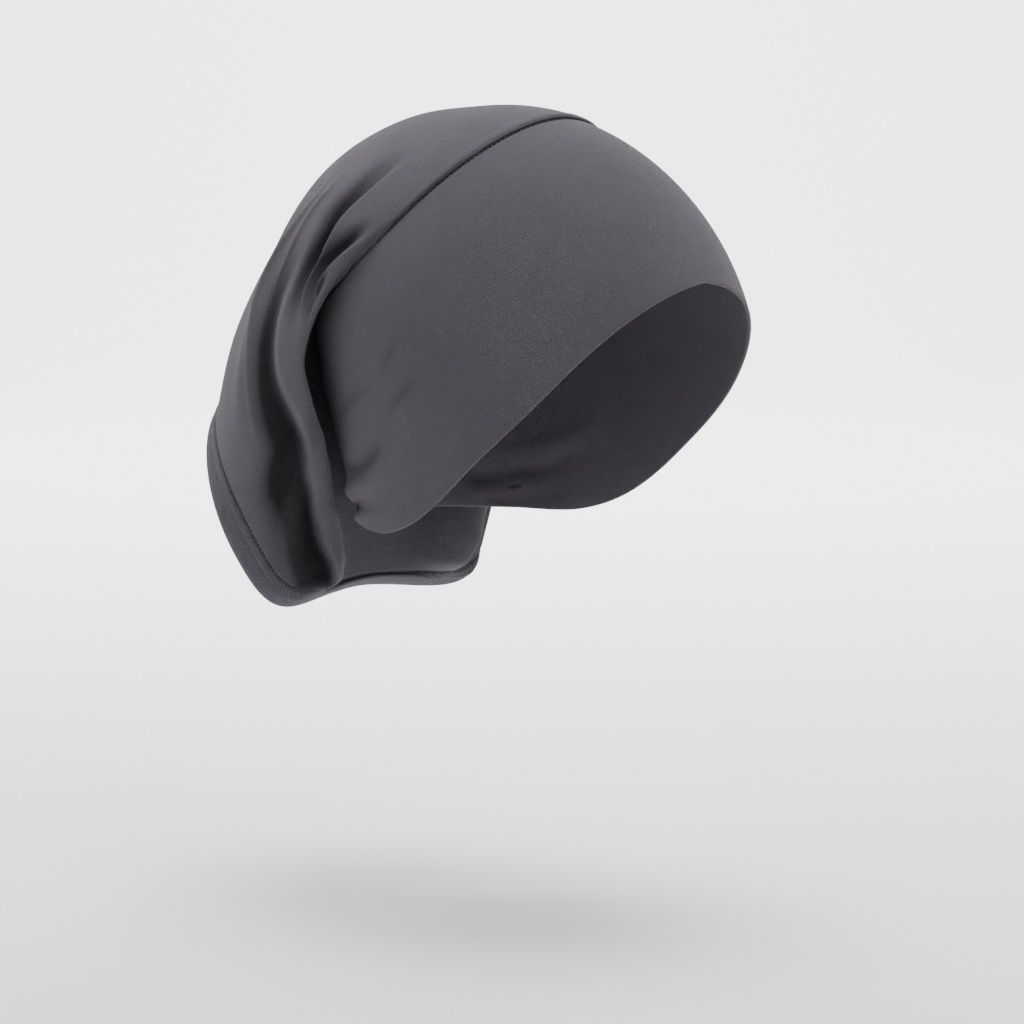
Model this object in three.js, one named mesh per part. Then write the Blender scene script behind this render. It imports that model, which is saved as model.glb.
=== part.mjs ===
// A hijab underscarf cap in the shape it has when worn. A doubled band of stretch jersey goes
// round the head, a bag of the same jersey is sewn to the band's upper edge and flops back and
// down behind the head, and an oval panel closes the bag's far end.
// Millimetres, +Z up. The wearer faces -Y and their right side is -X. The origin is the top of
// the head, where the cap sits.
import * as THREE from 'three';

// The head space, measured from its centre at the widest level
const HEAD_BREADTH = 150;
const HEAD_DEPTH = 196;
const CROWN_HEIGHT = 100;
const NAPE_DEPTH = 90;
const NAPE_NARROWING = 0.1;
const HEAD_LEAN = 0.15;
const PLAN_ROUNDNESS = 2.1;
const HEAD_EASE = 0.4;

// Cloth and seams
const BAND_THICKNESS = 1.6;
const BAG_THICKNESS = 1.2;
const PANEL_THICKNESS = 1.2;
const SEAM_GAP = 0.3;
const LAYER_GAP = 0.8;

// The band: its cut width, and the tilt of the axis that it goes round, from level
const BAND_WIDTH = 106;
const AXIS_TILT = 54.5;
const RIM_ROUNDING = 0.7;

// The bag: how far it stands behind the back of the head, out from its sides, and below its centre
const BAG_BEHIND = 68;
const BAG_SIDE_STAND = 2;
const BAG_DROP = 97;
const FOLD_DEPTH = 10;
const FOLD_WIDTH = 9;

// The end seam: how far before the bag's end it is, as shares of the length, at the outer and
// inner lines and more at each side, where it bows up
const SEAM_BEFORE_END = 0.012;
const SEAM_SIDE_BOW = 0.045;

// The end panel's crown above the bag's end
const PANEL_BULGE = 17;
const PANEL_SQUARENESS = 1.5;

// Mesh steps: round half a loop, the same in all the pieces so that their seams meet, and along
// each piece
const ROUND_STEPS = 38;
const BAND_STEPS = 8;
const BAG_STEPS = 23;
const PANEL_SIDE_STEPS = 2;
const PANEL_STEPS = 4;

// The band's seam, as an angle from the cap's axis in degrees, and its width as a share of
// BAND_WIDTH, by the turn in degrees from the middle of the forehead to the nape.
const BAND_TABLE = [
  { turn: 0, seam: 44.5, width: 0.965 },
  { turn: 30, seam: 45.9, width: 0.995 },
  { turn: 60, seam: 47.5, width: 1.018 },
  { turn: 90, seam: 50.4, width: 1.0 },
  { turn: 120, seam: 52.3, width: 1.012 },
  { turn: 135, seam: 51.6, width: 0.99 },
  { turn: 150, seam: 49.5, width: 0.911 },
  { turn: 165, seam: 48.1, width: 0.845 },
  { turn: 180, seam: 47.6, width: 0.814 },
];

// Sections of the bag, each a loop round its hollow, from the band's seam (along 0) to the end
// seam (along 1). The outer line runs over the top and down the back, the side line down each
// side, and the inner line down behind the nape. Sideways shares are of the bag's half width,
// back shares of its reach, and up shares of CROWN_HEIGHT above the centre or BAG_DROP below it.
// Fullness is 1 for an oval loop and less for a squarer one.
const BAG_SECTIONS = [
  { along: 0, outerBack: -0.127, outerUp: 0.98, side: 0.85, sideBack: 0.196, sideUp: 0.46,
    innerBack: 0.608, innerUp: 0.12, fullness: 1 },
  { along: 0.12, outerBack: 0.06, outerUp: 1.03, side: 0.92, sideBack: 0.259, sideUp: 0.37,
    innerBack: 0.663, innerUp: 0.14, fullness: 0.98 },
  { along: 0.28, outerBack: 0.335, outerUp: 1.0, side: 0.98, sideBack: 0.313, sideUp: 0.22,
    innerBack: 0.663, innerUp: -0.04, fullness: 0.93 },
  { along: 0.45, outerBack: 0.585, outerUp: 0.82, side: 1, sideBack: 0.37, sideUp: 0.04,
    innerBack: 0.651, innerUp: -0.31, fullness: 0.89 },
  { along: 0.62, outerBack: 0.77, outerUp: 0.49, side: 0.99, sideBack: 0.435, sideUp: -0.24,
    innerBack: 0.627, innerUp: -0.57, fullness: 0.87 },
  { along: 0.8, outerBack: 0.905, outerUp: 0.14, side: 0.98, sideBack: 0.53, sideUp: -0.56,
    innerBack: 0.59, innerUp: -0.83, fullness: 0.85 },
  { along: 1, outerBack: 0.97, outerUp: -0.21, side: 0.92, sideBack: 0.61, sideUp: -0.9,
    innerBack: 0.56, innerUp: -1.07, fullness: 0.82 },
];

// Folds of the bag's side, which gather at the bend behind the ear: two hollows above the bend,
// the roll behind it, and the hollow that the roll laps over. Each runs through points of
// [share round the half loop from its outer line, share along the bag]. Depth is a share of
// FOLD_DEPTH, inward if negative, and width one of FOLD_WIDTH. Push names the direction in
// PUSHES. Start and end are the shares of the path that the fold fades over, and far is the
// depth's share on the wearer's left side, where the same folds lie a little flatter.
const BAG_FOLDS = [
  { path: [[0.2, 0.15], [0.25, 0.2], [0.3, 0.27], [0.35, 0.36], [0.4, 0.44], [0.46, 0.44]],
    depth: -0.9, width: 0.8, push: 'out', start: 0.4, end: 0.3, far: 0.9 },
  { path: [[0.31, 0.12], [0.36, 0.17], [0.38, 0.28], [0.4, 0.36], [0.46, 0.38]],
    depth: -0.6, width: 0.65, push: 'out', start: 0.4, end: 0.3, far: 0.8 },
  { path: [[0.47, 0.48], [0.52, 0.48], [0.58, 0.49], [0.63, 0.52], [0.68, 0.56], [0.74, 0.61],
    [0.79, 0.68], [0.82, 0.79], [0.84, 1]],
    depth: 1.8, width: 1.4, push: 'forward', start: 0.35, end: 0.25, far: 0.9 },
  { path: [[0.28, 0.42], [0.28, 0.52], [0.3, 0.6], [0.36, 0.66], [0.45, 0.69], [0.55, 0.69],
    [0.63, 0.7], [0.68, 0.74], [0.72, 0.82], [0.76, 1]],
    depth: -0.9, width: 1, push: 'outAndForward', start: 0.4, end: 0.25, far: 0.85 },
  { path: [[0.1, 0.42], [0.2, 0.57], [0.25, 0.67], [0.33, 0.76], [0.43, 0.82]],
    depth: 0.25, width: 0.8, push: 'out', start: 0.3, end: 0.3, far: 0.7 },
];

// Directions of the folds on the wearer's right side. Out is along the cloth's own normals.
const PUSHES = {
  out: null,
  forward: new THREE.Vector3(-0.25, -0.97, 0),
  outAndForward: new THREE.Vector3(-0.8, -0.6, 0),
};

// Puckers in the band's lower corner behind each ear, where the stretched rim draws it together.
// Each runs through points of [turn in degrees, share of the width below the seam].
const BAND_PUCKERS = [
  { path: [[112, 0.68], [126, 0.71], [148, 0.75]],
    depth: -0.12, width: 0.7, push: 'out', start: 0.3, end: 0.3, far: 0.9 },
  { path: [[116, 0.86], [132, 0.87], [150, 0.86], [163, 0.86]],
    depth: 0.28, width: 0.8, push: 'out', start: 0.3, end: 0.2, far: 0.9 },
];

const DEGREE = Math.PI / 180;
const HALF_BREADTH = HEAD_BREADTH / 2;
const HALF_DEPTH = HEAD_DEPTH / 2;
const BAG_HALF_WIDTH = HALF_BREADTH + BAG_SIDE_STAND;
const BAG_REACH = HALF_DEPTH + BAG_BEHIND;

// The cap's axis points up and back, out of the band's upper edge.
const capAxis = new THREE.Vector3(0, Math.cos(AXIS_TILT * DEGREE), Math.sin(AXIS_TILT * DEGREE));
const capFront = new THREE.Vector3(0, -capAxis.z, capAxis.y);
const wearersRight = new THREE.Vector3(-1, 0, 0);

function smoothStep(x) {
  const share = THREE.MathUtils.clamp(x, 0, 1);
  return share * share * (3 - 2 * share);
}

// A smooth curve through one column of a table, by the column that the rows are in order of
function readTable(rows, key, column, x) {
  const last = rows.length - 1;
  let i = 0;
  while (i < last - 1 && x > rows[i + 1][key]) {
    i += 1;
  }
  const slope = (k) => {
    const before = rows[Math.max(k - 1, 0)];
    const after = rows[Math.min(k + 1, last)];
    return (after[column] - before[column]) / (after[key] - before[key]);
  };
  const step = rows[i + 1][key] - rows[i][key];
  const u = THREE.MathUtils.clamp((x - rows[i][key]) / step, 0, 1);
  const start = rows[i][column] * (1 + 2 * u) * (1 - u) ** 2 + slope(i) * step * u * (1 - u) ** 2;
  const end = rows[i + 1][column] * (3 - 2 * u) * u ** 2 + slope(i + 1) * step * (u - 1) * u ** 2;
  return start + end;
}

// The head space is a leaning dome over a neck that narrows a little.
function headScale(height) {
  if (height > 0) {
    return Math.sqrt(Math.max(1 - (height / CROWN_HEIGHT) ** 2, 0));
  }
  return 1 - NAPE_NARROWING * smoothStep(-height / NAPE_DEPTH);
}

// Distance from the head's centre to its surface along a unit direction
function headRadius(direction) {
  const across = Math.abs(direction.x / HALF_BREADTH) ** PLAN_ROUNDNESS;
  const deep = Math.abs((direction.y - HEAD_LEAN * direction.z) / HALF_DEPTH) ** PLAN_ROUNDNESS;
  const plan = (across + deep) ** (1 / PLAN_ROUNDNESS);
  const halvings = 32;
  let inside = 0;
  let outside = 2 * (HALF_DEPTH + CROWN_HEIGHT);
  for (let halving = 0; halving < halvings; halving += 1) {
    const middle = (inside + outside) / 2;
    if (middle * plan > headScale(middle * direction.z)) {
      outside = middle;
    } else {
      inside = middle;
    }
  }
  return (inside + outside) / 2;
}

// The point over the head at a turn from the forehead and an angle from the cap's axis, both in
// radians, on the side of the wearer that side gives (1 right, -1 left)
function overHead(turn, angle, side, stand) {
  const direction = capAxis.clone().multiplyScalar(Math.cos(angle));
  direction.addScaledVector(capFront, Math.sin(angle) * Math.cos(turn));
  direction.addScaledVector(wearersRight, Math.sin(angle) * Math.sin(turn) * side);
  return direction.multiplyScalar(headRadius(direction) + stand);
}

function seamAngle(turn) {
  return readTable(BAND_TABLE, 'turn', 'seam', turn / DEGREE) * DEGREE;
}

// The angle of the rim at a turn, found by laying the band's width down the head from the seam
function rimAngle(turn) {
  const width = BAND_WIDTH * readTable(BAND_TABLE, 'turn', 'width', turn / DEGREE);
  const step = DEGREE;
  let angle = seamAngle(turn);
  let here = overHead(turn, angle, 1, HEAD_EASE + BAND_THICKNESS);
  let laid = 0;
  while (laid < width && angle < Math.PI - step) {
    const next = overHead(turn, angle + step, 1, HEAD_EASE + BAND_THICKNESS);
    const length = next.distanceTo(here);
    const share = Math.min((width - laid) / length, 1);
    angle += share * step;
    laid += length;
    here = next;
  }
  return angle;
}

// Keeps a point at least a clearance away from the head, with a soft change at the limit
function keepOffHead(point, clearance) {
  const distance = point.length();
  const direction = point.clone().divideScalar(distance);
  const limit = headRadius(direction) + clearance;
  const softness = 1.2;
  const kept = (distance + limit + Math.hypot(distance - limit, softness)) / 2;
  return direction.multiplyScalar(kept);
}

// A loop moved straight toward the head's centre
function towardHead(loop, distance) {
  return loop.map((point) => point.clone().setLength(point.length() - distance));
}

// A grid of points on closed loops. Each holds two half loops, the right side and then the
// left, and make(share, along, side) gives the point at a share of the half loop.
function loopGrid(alongs, make) {
  return alongs.map((along) => Array.from({ length: 2 * ROUND_STEPS }, (_, i) => {
    const side = i <= ROUND_STEPS ? 1 : -1;
    const share = i <= ROUND_STEPS ? i / ROUND_STEPS : 2 - i / ROUND_STEPS;
    return make(share, along, side);
  }));
}

// Unit normals of a grid, out of the hollow that its loops go round
function gridNormals(grid) {
  const round = grid[0].length;
  const last = grid.length - 1;
  return grid.map((loop, j) => loop.map((_, i) => {
    const around = grid[j][(i + 1) % round].clone().sub(grid[j][(i + round - 1) % round]);
    const along = grid[Math.min(j + 1, last)][i].clone().sub(grid[Math.max(j - 1, 0)][i]);
    return along.cross(around).normalize();
  }));
}

// Moves a grid by folds. A fold's path is traced on the smooth grid by place, and each point
// near it moves, most on the path itself, with the path's two ends faded out.
function foldGrid(grid, folds, place) {
  const samples = 40;
  const normals = gridNormals(grid);
  const round = grid[0].length;
  const paths = folds.flatMap((fold) => [1, -1].map((side) => {
    const curve = new THREE.SplineCurve(fold.path.map((p) => new THREE.Vector2(...p)));
    const points = curve.getPoints(samples).map((p) => place(p.x, p.y, side));
    const depth = FOLD_DEPTH * fold.depth * (side > 0 ? 1 : fold.far);
    const push = PUSHES[fold.push]?.clone().multiply(new THREE.Vector3(side, 1, 1));
    return { ...fold, points, depth, width: FOLD_WIDTH * fold.width, push, side };
  }));
  return grid.map((loop, j) => loop.map((point, i) => {
    const moved = point.clone();
    for (const path of paths) {
      const onLeft = i > round / 2;
      if (onLeft === (path.side < 0)) {
        let nearest = 0;
        let distance = Infinity;
        path.points.forEach((p, k) => {
          if (p.distanceTo(point) < distance) {
            distance = p.distanceTo(point);
            nearest = k / samples;
          }
        });
        const ends = smoothStep(nearest / path.start) * smoothStep((1 - nearest) / path.end);
        const move = path.depth * ends * Math.exp(-((distance / path.width) ** 2));
        moved.addScaledVector(path.push ?? normals[j][i], move);
      }
    }
    return moved;
  }));
}

// The same grid moved in by the cloth's thickness
function innerGrid(outer, thickness) {
  const normals = gridNormals(outer);
  return outer.map((loop, j) => loop.map((point, i) => (
    point.clone().addScaledVector(normals[j][i], -thickness))));
}

// A wall of cloth between an outer and an inner grid. A rounding above 0 adds a row that rounds
// the first edge, as a folded hem is round.
function clothWall(outer, inner, rounding) {
  const rings = [...outer, ...[...inner].reverse()];
  if (rounding > 0) {
    rings.push(outer[0].map((point, i) => {
      const outward = point.clone().sub(outer[1][i]).normalize();
      const middle = point.clone().add(inner[0][i]).multiplyScalar(0.5);
      return middle.addScaledVector(outward, rounding);
    }));
  }
  return closedRings(rings);
}

// One closed body from rings of equal length, the last joined back to the first
function closedRings(rings) {
  const round = rings[0].length;
  const positions = rings.flat().flatMap((p) => [p.x, p.y, p.z]);
  const index = [];
  rings.forEach((_, j) => {
    const next = (j + 1) % rings.length;
    for (let i = 0; i < round; i += 1) {
      const a = j * round + i;
      const b = j * round + ((i + 1) % round);
      const c = next * round + ((i + 1) % round);
      const d = next * round + i;
      index.push(a, d, b, b, d, c);
    }
  });
  return solid(positions, index);
}

function solid(positions, index) {
  const geometry = new THREE.BufferGeometry();
  geometry.setAttribute('position', new THREE.Float32BufferAttribute(positions, 3));
  geometry.setIndex(index);
  geometry.computeVertexNormals();
  return geometry;
}

function evenShares(steps) {
  return Array.from({ length: steps + 1 }, (_, k) => k / steps);
}

// The band, from its rim, which is a fold and so is round, up to its seam
function bandGeometry() {
  const stand = HEAD_EASE + BAND_THICKNESS;
  const onBand = (turn, down, side) => {
    const start = seamAngle(turn) + SEAM_GAP / 2 / HALF_BREADTH;
    return overHead(turn, THREE.MathUtils.lerp(start, rimAngle(turn), down), side, stand);
  };
  const downShares = evenShares(BAND_STEPS).reverse();
  const smooth = loopGrid(downShares, (share, down, side) => (
    onBand(share * Math.PI, down, side)));
  const outer = foldGrid(smooth, BAND_PUCKERS, (turn, down, side) => (
    onBand(turn * DEGREE, down, side)));
  const inner = innerGrid(outer, BAND_THICKNESS);
  inner[BAND_STEPS] = towardHead(outer[BAND_STEPS], BAND_THICKNESS);
  return clothWall(outer, inner, RIM_ROUNDING);
}

// The bag before its folds: it starts on the seam and turns into the loops of BAG_SECTIONS.
function onBag(share, along, side) {
  const joined = 0.3;
  const row = (column) => readTable(BAG_SECTIONS, 'along', column, along);
  const up = (column) => row(column) * (row(column) > 0 ? CROWN_HEIGHT : BAG_DROP);
  const outer = new THREE.Vector3(0, row('outerBack') * BAG_REACH, up('outerUp'));
  const inner = new THREE.Vector3(0, row('innerBack') * BAG_REACH, up('innerUp'));
  const flank = new THREE.Vector3(0, row('sideBack') * BAG_REACH, up('sideUp'));
  const middle = outer.clone().add(inner).multiplyScalar(0.5);
  const cosine = Math.cos(share * Math.PI);
  const sine = Math.abs(Math.sin(share * Math.PI)) ** row('fullness');
  const lengthwise = Math.sign(cosine) * Math.abs(cosine) ** row('fullness');
  const loop = middle.clone().addScaledVector(outer.clone().sub(middle), lengthwise);
  loop.addScaledVector(flank.clone().sub(middle), sine ** 2);
  loop.addScaledVector(wearersRight, row('side') * BAG_HALF_WIDTH * sine * side);
  const turn = share * Math.PI;
  const start = seamAngle(turn) - SEAM_GAP / 2 / HALF_BREADTH;
  const seam = overHead(turn, start, side, HEAD_EASE + BAND_THICKNESS);
  const freed = 1 - (1 - Math.min(along / joined, 1)) ** 2;
  return seam.lerp(loop, freed);
}

// How far along the bag its end seam is
function endSeam(share) {
  const bowWidth = 0.25;
  return 1 - SEAM_BEFORE_END - SEAM_SIDE_BOW * Math.exp(-(((share - 0.5) / bowWidth) ** 2));
}

// Loops of the bag's outer face, kept off the head and the band except at the seam itself
function bagGrid() {
  const leaving = 0.04;
  const smooth = loopGrid(evenShares(BAG_STEPS), (share, along, side) => (
    onBag(share, along * endSeam(share), side)));
  const folded = foldGrid(smooth, BAG_FOLDS, onBag);
  return folded.map((loop, j) => loop.map((point) => {
    const kept = keepOffHead(point, HEAD_EASE + BAND_THICKNESS + LAYER_GAP);
    return point.clone().lerp(kept, smoothStep(j / BAG_STEPS / leaving));
  }));
}

// The end panel: it goes on from the bag's last loop to the bag's end and closes it with a crown.
function panelGeometry(bagOuter, bagInner) {
  const last = bagOuter.length - 1;
  const onward = bagOuter[last].map((point, i) => (
    point.clone().sub(bagOuter[last - 1][i]).setLength(SEAM_GAP)));
  const edge = bagOuter[last].map((point, i) => point.clone().add(onward[i]));
  const innerRim = bagInner[last].map((point, i) => point.clone().add(onward[i]));
  const plain = loopGrid([0], (share, _, side) => onBag(share, endSeam(share), side))[0];
  const sides = loopGrid(evenShares(PANEL_SIDE_STEPS), (share, run, side) => (
    onBag(share, THREE.MathUtils.lerp(endSeam(share), 1, run), side)));
  sides.forEach((loop, k) => loop.forEach((point, i) => {
    const carried = edge[i].clone().sub(plain[i]);
    point.addScaledVector(carried, 1 - k / PANEL_SIDE_STEPS);
  }));
  const rim = sides[PANEL_SIDE_STEPS];
  const centre = new THREE.Vector3();
  rim.forEach((point) => centre.addScaledVector(point, 1 / rim.length));
  const facing = new THREE.Vector3();
  rim.forEach((point, i) => {
    const next = rim[(i + 1) % rim.length].clone().sub(centre);
    facing.add(next.cross(point.clone().sub(centre)));
  });
  facing.normalize();
  const onPanel = (share, i) => {
    const arc = share * Math.PI / 2;
    const point = rim[i].clone().lerp(centre, (1 - Math.cos(arc)) ** PANEL_SQUARENESS);
    return point.addScaledVector(facing, PANEL_BULGE * Math.sin(arc));
  };
  const shares = evenShares(PANEL_STEPS).slice(1, -1);
  const crown = shares.map((share) => rim.map((_, i) => onPanel(share, i)));
  const outer = [...sides, ...crown];
  const inner = innerGrid(outer, PANEL_THICKNESS);
  inner[0] = innerRim;
  const rings = [...inner.reverse(), ...outer];
  const round = rim.length;
  const top = centre.clone().addScaledVector(facing, PANEL_BULGE);
  const under = top.clone().addScaledVector(facing, -PANEL_THICKNESS);
  const positions = [...rings.flat(), top, under].flatMap((p) => [p.x, p.y, p.z]);
  const index = [];
  for (let j = 0; j < rings.length - 1; j += 1) {
    for (let i = 0; i < round; i += 1) {
      const next = (i + 1) % round;
      const a = j * round + i;
      const b = j * round + next;
      index.push(a, a + round, b, b, a + round, b + round);
    }
  }
  const topIndex = rings.length * round;
  const lastRing = topIndex - round;
  for (let i = 0; i < round; i += 1) {
    const next = (i + 1) % round;
    index.push(topIndex, lastRing + next, lastRing + i);
    index.push(topIndex + 1, i, next);
  }
  return solid(positions, index);
}

function jersey(hex) {
  return new THREE.MeshStandardMaterial({
    color: hex, roughness: 0.92, metalness: 0, side: THREE.DoubleSide,
  });
}

function piece(name, geometry, hex) {
  const mesh = new THREE.Mesh(geometry, jersey(hex));
  mesh.name = name;
  return mesh;
}

const bagOuter = bagGrid();
const bagInner = innerGrid(bagOuter, BAG_THICKNESS);
bagInner[0] = towardHead(bagOuter[0], BAG_THICKNESS);
const cap = new THREE.Group();
cap.add(piece('front_band', bandGeometry(), 0x545158));
cap.add(piece('crown_bag', clothWall(bagOuter, bagInner, 0), 0x565359));
cap.add(piece('end_panel', panelGeometry(bagOuter, bagInner), 0x524f55));
cap.position.set(0, -HEAD_LEAN * CROWN_HEIGHT, -(CROWN_HEIGHT + HEAD_EASE));

export default cap;
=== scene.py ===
import bpy
import numpy as np
from mathutils import Matrix, Vector


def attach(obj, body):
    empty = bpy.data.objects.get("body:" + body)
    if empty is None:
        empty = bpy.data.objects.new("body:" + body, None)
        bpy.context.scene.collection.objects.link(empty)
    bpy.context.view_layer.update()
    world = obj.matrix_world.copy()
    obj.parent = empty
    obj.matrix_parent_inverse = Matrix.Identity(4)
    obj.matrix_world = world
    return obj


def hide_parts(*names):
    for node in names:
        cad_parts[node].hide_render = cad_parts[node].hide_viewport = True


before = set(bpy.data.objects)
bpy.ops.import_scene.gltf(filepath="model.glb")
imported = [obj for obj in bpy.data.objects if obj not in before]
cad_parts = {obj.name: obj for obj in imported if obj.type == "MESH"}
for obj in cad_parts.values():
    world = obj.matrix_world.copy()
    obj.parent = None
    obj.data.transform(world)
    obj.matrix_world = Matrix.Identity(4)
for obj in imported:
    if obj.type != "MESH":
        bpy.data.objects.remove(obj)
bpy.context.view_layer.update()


# ---- The front band ----
# A straight strip of grey stretch jersey, folded in two lengthwise so that the fold is the rim,
# and closed into a loop. It is stretched round the head from the forehead to the nape.
# Millimetres from the head's centre: +Z up, the wearer faces -Y, their right side is -X.
HEAD_HALF_BREADTH = 75
HEAD_HALF_DEPTH = 98
CROWN_HEIGHT = 100
NAPE_DEPTH = 90
NAPE_NARROWING = 0.1
HEAD_LEAN = 0.15
PLAN_ROUNDNESS = 2.1
HALVINGS = 34
HEAD_EASE = 0.4
AXIS_TILT = np.radians(54.5)
CAP_AXIS = np.array([0, np.cos(AXIS_TILT), np.sin(AXIS_TILT)])
CAP_FRONT = np.array([0, -CAP_AXIS[2], CAP_AXIS[1]])
WEARERS_RIGHT = np.array([-1.0, 0, 0])
TOP_OF_HEAD = np.array([0, HEAD_LEAN * CROWN_HEIGHT, CROWN_HEIGHT + HEAD_EASE])

BAND_WIDTH = 106
BAND_THICKNESS = 1.6
SEAM_GAP = 0.3
BAND_COLUMNS = 520
BAND_ROWS = 96
BAND_LINING_ROWS = 36
RIM_ROWS = 5
BAND_STITCH_PITCH = 2.2
BAND_STITCH_WIDTH = 0.9
STITCH_LENGTH = 2
STITCH_LIFT = 0.4
DITCH_DEPTH = 0.8
DITCH_WIDTH = 0.8
# How a fold is laid: points on its line, half the width of a lap's edge, how far the cloth
# sinks where its painted shade is darkest, and the share of the line over which the push turns
PATH_POINTS = 91
LAP_EDGE = 2.2
FULL_SHADE_SINK = 3
TURNED = 0.35
# turn in degrees from the middle of the forehead, seam's angle from the axis, share of the width
BAND_SHAPE = np.array([
    [0, 44.5, 0.965], [30, 45.9, 0.995], [60, 47.5, 1.018], [90, 50.4, 1.0], [120, 52.3, 1.012],
    [135, 51.6, 0.99], [150, 49.5, 0.911], [165, 48.1, 0.845], [180, 47.6, 0.814]])


def smooth_step(x):
    share = np.clip(x, 0, 1)
    return share * share * (3 - 2 * share)


def table_curve(rows, x):
    """The columns after the first of a table, smoothly read at each x of the first column."""
    keys, values = rows[:, 0], rows[:, 1:]
    last = len(rows) - 1
    row = np.arange(last + 1)
    before, after = np.maximum(row - 1, 0), np.minimum(row + 1, last)
    slopes = (values[after] - values[before]) / (keys[after] - keys[before])[:, None]
    x = np.atleast_1d(np.asarray(x, float))
    i = np.clip(np.searchsorted(keys, x) - 1, 0, last - 1)
    step = (keys[i + 1] - keys[i])[:, None]
    u = np.clip((x[:, None] - keys[i][:, None]) / step, 0, 1)
    start = values[i] * (1 + 2 * u) * (1 - u) ** 2 + slopes[i] * step * u * (1 - u) ** 2
    return start + values[i + 1] * (3 - 2 * u) * u**2 + slopes[i + 1] * step * (u - 1) * u**2


def head_radius(direction):
    """How far the head reaches from its centre along each unit direction."""
    across = np.abs(direction[..., 0] / HEAD_HALF_BREADTH) ** PLAN_ROUNDNESS
    deep = np.abs((direction[..., 1] - HEAD_LEAN * direction[..., 2]) / HEAD_HALF_DEPTH)
    plan = (across + deep**PLAN_ROUNDNESS) ** (1 / PLAN_ROUNDNESS)
    inside = np.zeros(plan.shape)
    outside = np.full(plan.shape, 2.0 * (HEAD_HALF_DEPTH + CROWN_HEIGHT))
    for _ in range(HALVINGS):
        middle = (inside + outside) / 2
        height = middle * direction[..., 2]
        dome = np.sqrt(np.maximum(1 - (height / CROWN_HEIGHT) ** 2, 0))
        neck = 1 - NAPE_NARROWING * smooth_step(-height / NAPE_DEPTH)
        beyond = middle * plan > np.where(height > 0, dome, neck)
        outside, inside = np.where(beyond, middle, outside), np.where(beyond, inside, middle)
    return (inside + outside) / 2


def over_head(turn, angle, side, stand):
    """Points over the head at turns from the forehead and angles from the cap's axis."""
    turn, angle, side = np.broadcast_arrays(turn, angle, side)
    direction = CAP_AXIS * np.cos(angle)[..., None]
    direction = direction + CAP_FRONT * (np.sin(angle) * np.cos(turn))[..., None]
    direction = direction + WEARERS_RIGHT * (np.sin(angle) * np.sin(turn) * side)[..., None]
    return direction * (head_radius(direction) + stand)[..., None]


def seam_angle(turn):
    return np.radians(table_curve(BAND_SHAPE, np.degrees(turn))[:, 0])


def rim_angle(turn):
    """The rim's angle at each turn, found by laying the band's width down the head."""
    width = BAND_WIDTH * table_curve(BAND_SHAPE, np.degrees(turn))[:, 1]
    angles = seam_angle(turn)[:, None] + np.radians(np.arange(0, 120, 0.5))
    points = over_head(turn[:, None], angles, 1, HEAD_EASE + BAND_THICKNESS)
    laid = np.cumsum(np.linalg.norm(np.diff(points, axis=1), axis=2), axis=1)
    laid = np.concatenate([np.zeros((len(turn), 1)), laid], axis=1)
    return np.array([np.interp(w, run, a) for w, run, a in zip(width, laid, angles)])


def loop_places(columns):
    """The share of the half loop and the side (1 right, -1 left) of each column of a loop."""
    column = np.arange(columns)
    side = np.where(column <= columns / 2, 1, -1)
    share = np.where(column <= columns / 2, 2 * column / columns, 2 - 2 * column / columns)
    return share, side


def grid_normals(grid):
    """Unit normals of a grid of closed loops, out of the hollow that they go round."""
    around = np.roll(grid, -1, axis=1) - np.roll(grid, 1, axis=1)
    along = np.gradient(grid, axis=0)
    normals = np.cross(along, around)
    return normals / np.linalg.norm(normals, axis=2, keepdims=True)


def crossing(points, side, path, place):
    """For each point, how far it is past a fold's line (negative before it), and what share of
    the line's length it is beside. Past is to the left of someone who walks the line outside."""
    knots = np.array(path, float)
    run = np.linspace(0, len(knots) - 1, PATH_POINTS)
    lead = np.vstack([2 * knots[0] - knots[1], knots, 2 * knots[-1] - knots[-2]])
    i = np.minimum(run.astype(int), len(knots) - 2)
    u = (run - i)[:, None]
    a, b, c, d = lead[i], lead[i + 1], lead[i + 2], lead[i + 3]
    line = 0.5 * (2 * b + (c - a) * u + (2 * a - 5 * b + 4 * c - d) * u**2
                  + (3 * b - a - 3 * c + d) * u**3)
    # a small step round the loop, which the bag counts in shares and the band in degrees
    round_nudge = 0.004 if line[:, 0].max() <= 1 else 0.7
    offset = np.zeros(len(points))
    beside = np.zeros(len(points))
    for hand in (1, -1):
        on = side == hand
        track = place(line[:, 0], line[:, 1], hand)
        tangent = np.gradient(track, axis=0)
        step = np.linalg.norm(tangent, axis=1, keepdims=True)
        tangent /= step
        onward = track - place(line[:, 0], line[:, 1] - 0.01, hand)
        around = track - place(line[:, 0] - round_nudge, line[:, 1], hand)
        past = np.cross(np.cross(onward, around), tangent)
        mine = points[on]
        nearest = np.zeros(len(mine), int)
        best = np.full(len(mine), np.inf)
        for k, point in enumerate(track):
            square = ((mine - point) ** 2).sum(1)
            closer = square < best
            best[closer] = square[closer]
            nearest[closer] = k
        apart = mine - track[nearest]
        run_off = (apart * tangent[nearest]).sum(1)
        within = (nearest > 0) & (nearest < len(track) - 1)
        apart -= tangent[nearest] * (run_off * within)[:, None]
        offset[on] = np.linalg.norm(apart, axis=1) * np.sign((apart * past[nearest]).sum(1))
        beside[on] = (nearest + within * run_off / step[nearest, 0]) / (len(track) - 1)
    return offset, beside


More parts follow.
